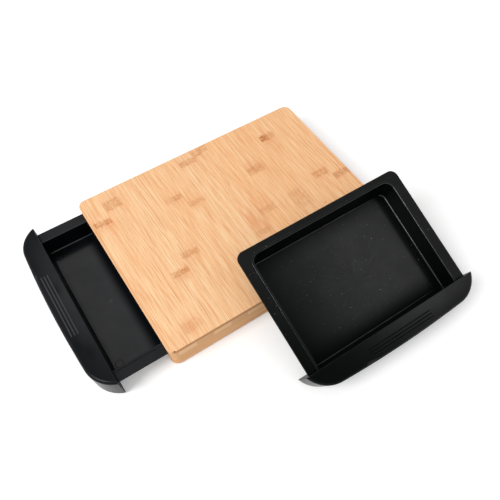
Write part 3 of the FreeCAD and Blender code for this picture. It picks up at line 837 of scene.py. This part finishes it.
@dataclass(frozen=True)
class PolishAndSheen:
    """How glossy each part of a tray's coat is, of 0 to 1, and where: wear, painted sheen and painted shade
    together.

    Attributes:
        flat: the flange.
        floor: the middle of the floor.
        crescent: the crescent's upper side, where its painted sheen is brightest.
        crescent_at: where along y that is.
        crescent_reach: how far it spreads along y.
        wall: the walls.
        edge: the round edges.
        ear: the crescent's ends and its front.
        rib: the grip ribs.
        back: where along x the floor begins to be glossy, and where it is so fully; the dull part before it
            is painted shade.
        front: the same at its front end, from the outside in.
        side: the same along y.
        side_low: the share that is left before the first of those.
        shade: where y - 0.6 * x begins to be glossy at all, and where it is so fully, a painted shade.
    """

    flat: float = 0.4
    floor: float = 0.85
    crescent: float = 0.6
    crescent_at: float = 0.0
    crescent_reach: float = 115.0
    wall: float = 0.0
    edge: float = 1.0
    ear: float = 0.5
    rib: float = 1.0
    # The floor stays dull up to 127 mm from its back: painted shade of the board's end beside the left tray.
    back: tuple[float, float] = (111.0, 127.0)
    front: tuple[float, float] = (182.0, 178.0)
    side: tuple[float, float] = (-130.0, -120.0)
    side_low: float = 0.0
    shade: tuple[float, float] = (-400.0, -390.0)


@dataclass(frozen=True)
class PlasticFinish(Finish):
    """Black moulded plastic: dull where nothing touches it, glossy on its edges and where it is used, and its
    coat carries painted sheen and painted shade.

    Attributes:
        name: the material's name.
        origin: the tray's own origin, in metres.
        turn: the tray's axes as Euler angles.
        seed: shifts the patterns.
        polish_and_sheen: how glossy each part is, from wear and from painted sheen and shade.
        black: the plastic's own colour.
        rib_colour_and_highlight: the colour of the grip ribs; a paler one is a painted highlight on their
            rounded tops.
        flow: how strongly the flow marks of the moulding show.
        dusting: how strongly dust shows.
        smudges: its handling marks.
        specular: how strongly the bare plastic shines.
        grain: the width of its grain, in millimetres.
        dust_cell: the width of a cell that may hold one speck, in millimetres.
        dust_share: the share of those cells that do.
        coat_rough: the roughness of the glossy coat.
        grey: the tips of its grain.
        flow_colour: the flow marks.
        dust: the specks.
    """

    name: str
    origin: Vector
    turn: tuple
    seed: float
    polish_and_sheen: PolishAndSheen = PolishAndSheen()
    black: Colour = (4, 5, 5)
    rib_colour_and_highlight: Colour = (4, 5, 5)
    flow: float = 0.0
    dusting: float = 0.0
    smudges: tuple[Smudge, ...] = ()
    specular: float = 0.03
    grain: float = 0.32
    dust_cell: float = 7.5
    dust_share: float = 0.32
    coat_rough: float = 0.2
    grey: Colour = (14, 15, 16)
    flow_colour: Colour = (48, 52, 46)
    dust: Colour = (170, 172, 164)

    def polish_and_sheen_share(self, graph: Graph, wear_and_sheen: dict[str, Socket], x: Socket, y: Socket, patch: Socket) -> Socket:
        """How glossy a point's coat is, wear and painted sheen and shade together: each part's mask times its
        level, added up.

        Args:
            graph: the material's tree.
            wear_and_sheen: the masks of the TrayWearAndSheen effect.
            x: along the tray.
            y: across it.
            patch: a slow noise that makes the gloss uneven.

        Returns:
            The gloss, of 0 to 1.
        """
        level = self.polish_and_sheen
        # The crescent's bright patch, fading towards its front, is a painted reflection.
        arc = graph.times(graph.hill(y, level.crescent_at, level.crescent_reach),
                          graph.ramp(x, 181.0, 208.0, level.crescent, 0.4 * level.crescent))
        total = graph.gather((wear_and_sheen["Flat"], level.flat), (wear_and_sheen["Floor"], level.floor),
                             (wear_and_sheen["Wall"], level.wall), (wear_and_sheen["Crescent"], arc))
        total = graph.times(total, graph.ramp(patch, 0.25, 0.75, 0.86, 1.1))
        total = graph.gather((wear_and_sheen["Ear"], level.ear), (wear_and_sheen["Edge"], level.edge), start=total)
        total = graph.times(total, graph.gather((wear_and_sheen["Ring"], -0.7), start=1.0))
        for smudge in self.smudges:
            mark = graph.times(graph.hill(x, smudge.x, smudge.long), graph.hill(y, smudge.y, smudge.wide),
                               graph.ramp(patch, 0.3, 0.6, 0.5, 1.0))
            total = graph.times(total, graph.gather((mark, smudge.strength), start=1.0))
        total = graph.times(total, graph.rest(wear_and_sheen["Rib"]))
        return graph.math("MULTIPLY_ADD", wear_and_sheen["Rib"], level.rib, total, clamp=True)

    def shade(self, graph: Graph, shader: bpy.types.Node) -> None:
        """Wire the plastic's colour, gloss, its coat of wear and painted sheen, and relief.

        Args:
            graph: the material's tree.
            shader: its Principled BSDF.
        """
        level = self.polish_and_sheen
        place = self.place(graph, self.origin, self.turn)
        source = graph.add("ShaderNodeTexCoord")
        turned = graph.add("ShaderNodeVectorRotate", rotation_type="EULER_XYZ", invert=True)
        graph.feed(turned.inputs["Vector"], source.outputs["Normal"])
        graph.feed(turned.inputs["Rotation"], self.turn)
        skin = MOULDING.place(graph, Vector=place, Grain=self.grain, Seed=self.seed)
        wear_and_sheen = TRAY_WEAR_AND_SHEEN.place(graph, Vector=place, Normal=turned.outputs[0], Seed=self.seed,
                               Back=level.back[0], Back_full=level.back[1], Front=level.front[0],
                               Front_full=level.front[1], Side=level.side[0], Side_full=level.side[1],
                               Side_low=level.side_low, Shade=level.shade[0], Shade_full=level.shade[1])
        x, y, _ = graph.split(place)
        colour = graph.paint(linear(self.black), self.grey, graph.ramp(skin["Grain"], 0.4, 0.7, 0.0, 0.3))
        # Ribs get their own colour; on the left tray it is paler, a painted highlight on their rounded tops.
        colour = graph.paint(colour, self.rib_colour_and_highlight, wear_and_sheen["Rib"])
        if self.flow:
            lines = FLOW.place(graph, Vector=place, Seed=self.seed)["Line"]
            colour = graph.paint(colour, self.flow_colour, lines, wear_and_sheen["Floor"], self.flow)
        if self.dusting:
            specks = DUST.place(graph, Vector=place, Cell=self.dust_cell, Share=self.dust_share)["Speck"]
            bare = graph.math("MAXIMUM", wear_and_sheen["Floor"], wear_and_sheen["Flat"])
            colour = graph.paint(colour, self.dust, specks, bare, self.dusting)
        rough = graph.ramp(skin["Patch"], 0.3, 0.7, 0.36, 0.46)
        # Coat weight: wear on edges and ribs, painted sheen and painted shade on floor, flange, walls and
        # crescent.
        graph.feed(shader.inputs["Coat Weight"], self.polish_and_sheen_share(graph, wear_and_sheen, x, y, skin["Patch"]))
        shader.inputs["Coat Roughness"].default_value = self.coat_rough
        self.cover(shader, graph, colour, rough, skin["Grain"], 0.012, 0.8)


@dataclass(frozen=True)
class RubberFinish(Finish):
    """Matte black rubber of the feet, a little dusty."""

    name: str = "foot_rubber"
    specular: float = 0.25
    black: Colour = (30, 30, 31)
    grey: Colour = (62, 61, 60)

    def shade(self, graph: Graph, shader: bpy.types.Node) -> None:
        """Wire the rubber's colour, gloss and relief.

        Args:
            graph: the material's tree.
            shader: its Principled BSDF.
        """
        skin = MOULDING.place(graph, Vector=self.place(graph, Vector((0, 0, 0))), Grain=0.5, Seed=3.0)
        colour = graph.paint(linear(self.black), self.grey, graph.ramp(skin["Grain"], 0.4, 0.75, 0.0, 0.6))
        rough = graph.ramp(skin["Patch"], 0.3, 0.7, 0.72, 0.88)
        self.cover(shader, graph, colour, rough, skin["Grain"], 0.03)


@dataclass(frozen=True)
class SteelFinish(Finish):
    """Dull zinc-plated steel of the wood screws, rubbed bright in places."""

    name: str = "screw_steel"
    specular: float = 0.5
    zinc: Colour = (170, 172, 176)
    stain: Colour = (116, 114, 110)

    def shade(self, graph: Graph, shader: bpy.types.Node) -> None:
        """Wire the steel's colour, gloss and relief.

        Args:
            graph: the material's tree.
            shader: its Principled BSDF.
        """
        skin = MOULDING.place(graph, Vector=self.place(graph, Vector((0, 0, 0))), Grain=0.4, Seed=9.0)
        shader.inputs["Metallic"].default_value = 1.0
        colour = graph.paint(linear(self.zinc), self.stain, graph.ramp(skin["Grain"], 0.35, 0.75))
        rough = graph.ramp(skin["Grain"], 0.3, 0.7, 0.32, 0.5)
        self.cover(shader, graph, colour, rough, skin["Grain"], 0.01)


def dress(node: str, finish: Finish) -> None:
    """Give a CAD node a finish.

    Args:
        node: the node's name.
        finish: what it is made of.
    """
    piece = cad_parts[node]
    piece.data.materials.clear()
    piece.data.materials.append(finish.material())
    LOG.info("%s: %s", node, finish.name)


@dataclass
class Board:
    """The bamboo board: strips, core panel, rails, divider and what holds and carries them.

    Attributes:
        strip_width: width of one strip of the cutting face.
        first_strip: width of the narrow strip at the left end.
        length: the board along X.
        top: height of the cutting face.
        looks: each strip's own look, from the left.
    """

    strip_width: float = 26.75
    first_strip: float = 4.15
    length: float = 380.0
    top: float = 44.0
    looks: tuple[StripLook, ...] = field(default_factory=lambda: (
        StripLook(0.25, 0.2, sawn=0.2),
        StripLook(0.15, 0.25, (Mark(88.75, 10.0, 0.62, halo=0.5, halo_side=-1.0, halo_reach=11.0),),
                  spots=((-10.2, -141.6, 1.3), (6.5, -141.8, 0.5))),
        StripLook(0.15, 0.2, (Mark(113.75, 19.0, 0.42, halo=0.25),
                              Mark(-121.5, 16.0, 0.16, halo=0.5, halo_reach=12.0))),
        StripLook(0.1, 0.15, (Mark(-44.0, 9.0, 0.66, halo=0.5, halo_side=-1.0, halo_reach=10.0),), 6.0, 25.0),
        StripLook(0.15, 0.3, (Mark(-24.0, 11.0, 0.42, halo=0.3),)),
        StripLook(0.4, 0.35, (Mark(71.75, 9.0, 0.34, side=1.0, halo=0.3),)),
        StripLook(0.3, 0.3, (Mark(49.0, 9.0, 0.30, halo=0.35, halo_reach=10.0),)),
        StripLook(0.15, 0.3, (Mark(123.0, 12.0, 0.45, halo=0.2),)),
        StripLook(0.3, 0.35, (Mark(133.0, 13.0, 0.42, 0.25, halo=0.25),
                              Mark(-49.5, 10.0, 0.25, halo=0.6, halo_side=1.0, halo_reach=30.0)), 9.0, 48.0),
        StripLook(0.8, 0.45, (Mark(-19.5, 12.0, 0.28, halo=0.4, halo_side=1.0, halo_reach=22.0),)),
        StripLook(0.5, 0.35, (Mark(53.5, 15.0, 0.40, halo=0.5, halo_side=1.0, halo_reach=13.0),)),
        StripLook(0.6, 0.35, (Mark(-28.0, 36.0, 0.22, halo=0.25, halo_reach=26.0),)),
        StripLook(0.55, 0.4, (Mark(100.5, 13.0, 0.85, side=-1.0, halo=0.5, halo_side=-1.0, halo_reach=16.0),),
                  spots=((-1.3, -56.5, 1.0),)),
        StripLook(0.6, 0.35, (Mark(-7.0, 13.0, 0.46, halo=0.35),)),
        StripLook(0.55, 0.3, (Mark(-24.0, 12.0, 0.50, halo=0.3),)),
    ))

    def centre(self) -> Vector:
        """The middle of the board at the height of its cutting face, in metres."""
        low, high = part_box("core_panel")
        return Vector(((low.x + high.x) / 2, (low.y + high.y) / 2, self.top * MM))

    def dress_strips(self) -> None:
        """Give each strip of the cutting face its own piece of bamboo."""
        middle = self.centre()
        for number, look in enumerate(self.looks, start=1):
            node = f"face_strip_{number:02d}"
            low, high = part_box(node)
            left = middle.x + (self.first_strip - self.length / 2 + (number - 2) * self.strip_width) * MM
            centre = Vector((left + self.strip_width / 2 * MM, middle.y, middle.z))
            half = (high.x - low.x) / 2 / MM
            dress(node, StripFinish(f"bamboo_{node}", centre, half, 5.7 * number, look))

    def dress_body(self) -> None:
        """Give the core panel, the rails, the divider and the dowels their wood."""
        middle = self.centre()
        dress("core_panel", CoreFinish("bamboo_core_panel", middle))
        dress("front_rail", BarFinish("bamboo_front_rail", middle, Grain.ALONG_X, 17.0,
                                      knots=((143.0, 115.0, -22.0), (143.0, 92.0, -21.0))))
        dress("back_rail", BarFinish("bamboo_back_rail", middle, Grain.ALONG_X, 23.0,
                                     knots=((-143.0, -60.0, -25.0),)))
        dress("centre_divider", BarFinish("bamboo_divider", middle, Grain.ALONG_Y, 29.0))
        dress("divider_dowels", BarFinish("beech_dowel", middle, Grain.ALONG_Y, 31.0,
                                          pale=(222, 190, 148), tan=(206, 172, 128), streak=(182, 146, 104)))

    def dress_hardware(self) -> None:
        """Give the screws their steel and the feet their rubber."""
        for node in ("rail_screws", "divider_screws"):
            dress(node, SteelFinish())
        for node in ("foot_front_left", "foot_front_right", "foot_back_left", "foot_back_right"):
            dress(node, RubberFinish())


@dataclass
class Tray:
    """One black tray, dressed in its own axes: x from its back to its front, y across, z up.

    Attributes:
        node: the CAD node.
        origin: the middle of the flange's back edge, on its upper side, in metres.
        along: the direction from the back of the tray to its front.
    """

    node: str
    origin: Vector
    along: Vector

    def turn(self) -> tuple:
        """Work out the tray's axes: x along the tray, y level across it, z square to both.

        Returns:
            The axes as Euler angles.
        """
        level = Vector((0, 0, 1)).cross(self.along).normalized()
        up = self.along.cross(level)
        axes = Matrix((self.along, level, up)).transposed()
        return tuple(axes.to_euler())

    def dress(self, **wear: object) -> None:
        """Give the tray its plastic.

        Args:
            wear: the fields of PlasticFinish that set this tray apart.
        """
        dress(self.node, PlasticFinish(f"plastic_{self.node}", self.origin, self.turn(), **wear))


def seen_ray(graph: Graph) -> Socket:
    """Tell what the camera sees, straight, in a reflection or through glass, from the light it gives.

    Args:
        graph: the tree of a material or a world.

    Returns:
        1 for what is seen, else 0.
    """
    path = graph.add("ShaderNodeLightPath")
    seen = graph.math("MAXIMUM", path.outputs["Is Camera Ray"], path.outputs["Is Glossy Ray"])
    return graph.math("MAXIMUM", seen, path.outputs["Is Transmission Ray"])


def put(name: str, data: bpy.types.ID) -> bpy.types.Object:
    """Put a new object into the scene.

    Args:
        name: its name.
        data: its mesh, lamp or camera.

    Returns:
        The object.
    """
    made = bpy.data.objects.new(name, data)
    bpy.context.scene.collection.objects.link(made)
    return made


@dataclass
class Stage:
    """Floor, sky, lamp and camera.

    Attributes:
        floor_size: side of the square floor, in metres.
        floor_white: how much light the floor throws back, of 0 to 1.
        floor_lift: how much whiter the floor looks than its light makes it.
        ambient: how strongly the sky lights matt surfaces; what reflects or looks at it sees white.
        lamp_at: the lamp's place.
        lamp_size: side of its square face, in metres.
        lamp_power: in watts.
        camera_at: the camera's place.
        pitch: how far the camera looks down, in degrees.
        yaw: how far it looks to the right of +Y, in degrees.
        lens: focal length in millimetres, on a sensor 36 mm wide.
        shift: how far the frame is shifted up, in widths.
    """

    floor_size: float = 8.0
    floor_white: float = 0.93
    floor_lift: float = 0.24
    ambient: float = 0.62
    lamp_at: tuple = (-1.87, 0.03, 2.17)
    lamp_size: float = 1.27
    lamp_power: float = 49.0
    camera_at: tuple = (-0.0450, -0.23325, 0.5769)
    pitch: float = 65.01
    yaw: float = 33.204
    lens: float = 32.486
    shift: float = 0.14

    def make_floor(self) -> None:
        """A plain pale floor at the height that the board stands on."""
        half = self.floor_size / 2
        mesh = bpy.data.meshes.new("floor")
        corners = [(-half, -half, 0), (half, -half, 0), (half, half, 0), (-half, half, 0)]
        mesh.from_pydata(corners, [], [range(4)])
        floor = put("floor", mesh)
        paint = bpy.data.materials.new("floor_paint")
        paint.use_nodes = True
        shader = paint.node_tree.nodes["Principled BSDF"]
        shader.inputs["Base Color"].default_value = (*(self.floor_white,) * 3, 1.0)
        shader.inputs["Roughness"].default_value = 0.9
        shader.inputs["Specular IOR Level"].default_value = 0.1
        shader.inputs["Emission Color"].default_value = (1.0, 1.0, 1.0, 1.0)
        graph = Graph(paint.node_tree)
        graph.feed(shader.inputs["Emission Strength"], graph.times(seen_ray(graph), self.floor_lift))
        mesh.materials.append(paint)
        floor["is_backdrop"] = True

    def make_sky(self) -> None:
        """An even white sky, dimmer for the light it gives to matt surfaces."""
        world = bpy.data.worlds.new("sky")
        world.use_nodes = True
        bpy.context.scene.world = world
        graph = Graph(world.node_tree)
        background = world.node_tree.nodes["Background"]
        background.inputs["Color"].default_value = (1.0, 1.0, 1.0, 1.0)
        graph.feed(background.inputs["Strength"], graph.ramp(seen_ray(graph), 0.0, 1.0, self.ambient, 1.0))

    def make_lamp(self) -> None:
        """A large soft lamp, high on the left, that points at the middle of the model."""
        low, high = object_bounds()
        aim = (low + high) / 2
        data = bpy.data.lights.new("soft_lamp", "AREA")
        data.shape, data.size, data.energy = "SQUARE", self.lamp_size, self.lamp_power
        lamp = put("soft_lamp", data)
        lamp.location = self.lamp_at
        lamp.rotation_euler = (aim - Vector(self.lamp_at)).to_track_quat("-Z", "Y").to_euler()

    def make_camera(self) -> None:
        """The camera that the main view is taken with."""
        data = bpy.data.cameras.new("camera")
        data.sensor_fit, data.sensor_width = "HORIZONTAL", 36.0
        data.lens, data.shift_y = self.lens, self.shift
        camera = put("camera", data)
        camera.location = self.camera_at
        camera.rotation_euler = (math.radians(90 - self.pitch), 0.0, -math.radians(self.yaw))
        bpy.context.scene.camera = camera

    def make(self) -> None:
        """Set up the whole stage."""
        self.make_floor()
        self.make_sky()
        self.make_lamp()
        self.make_camera()
        bpy.context.scene.view_settings.view_transform = "Standard"


def main() -> None:
    """Dress the board and its trays, and set up the stage."""
    logging.basicConfig(level=logging.INFO, format="%(message)s")
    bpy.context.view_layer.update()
    board = Board()
    board.dress_strips()
    board.dress_body()
    board.dress_hardware()
    left = Tray("left_tray", Vector(LEFT_ORIGIN), Vector((-1, 0, 0)))
    # The left tray's pale ribs are a painted highlight on their rounded tops.
    left.dress(seed=2.0, black=(8, 10, 14), rib_colour_and_highlight=(50, 53, 53), polish_and_sheen=PolishAndSheen(floor=0.72, rib=0.6),
               smudges=(Smudge(189.0, -25.0, 6.0, 12.0, -0.5), Smudge(190.0, 84.0, 9.0, 16.0, -0.6),
                        Smudge(199.0, 66.0, 6.0, 14.0, -0.5), Smudge(136.0, 8.0, 3.0, 3.0, 0.5)))
    lean = math.radians(LEAN)
    right = Tray("right_tray", Vector(RIGHT_ORIGIN), Vector((0, -math.cos(lean), -math.sin(lean))))
    # The right tray's fades along x and y, its shade step and its crescent's bright patch are painted
    # reflection and painted shade.
    right.dress(seed=6.0, flow=0.3, dusting=0.55, black=(3, 5, 4),
                polish_and_sheen=PolishAndSheen(flat=0.25, floor=0.64, wall=0.2, crescent=0.7, crescent_at=60.0,
                              crescent_reach=85.0, rib=0.0, back=(2.0, 50.0), front=(177.0, 142.0),
                              side=(-122.0, 20.0), side_low=0.2, shade=(-245.0, -130.0)))
    Stage().make()


if __name__ == "__main__":
    main()
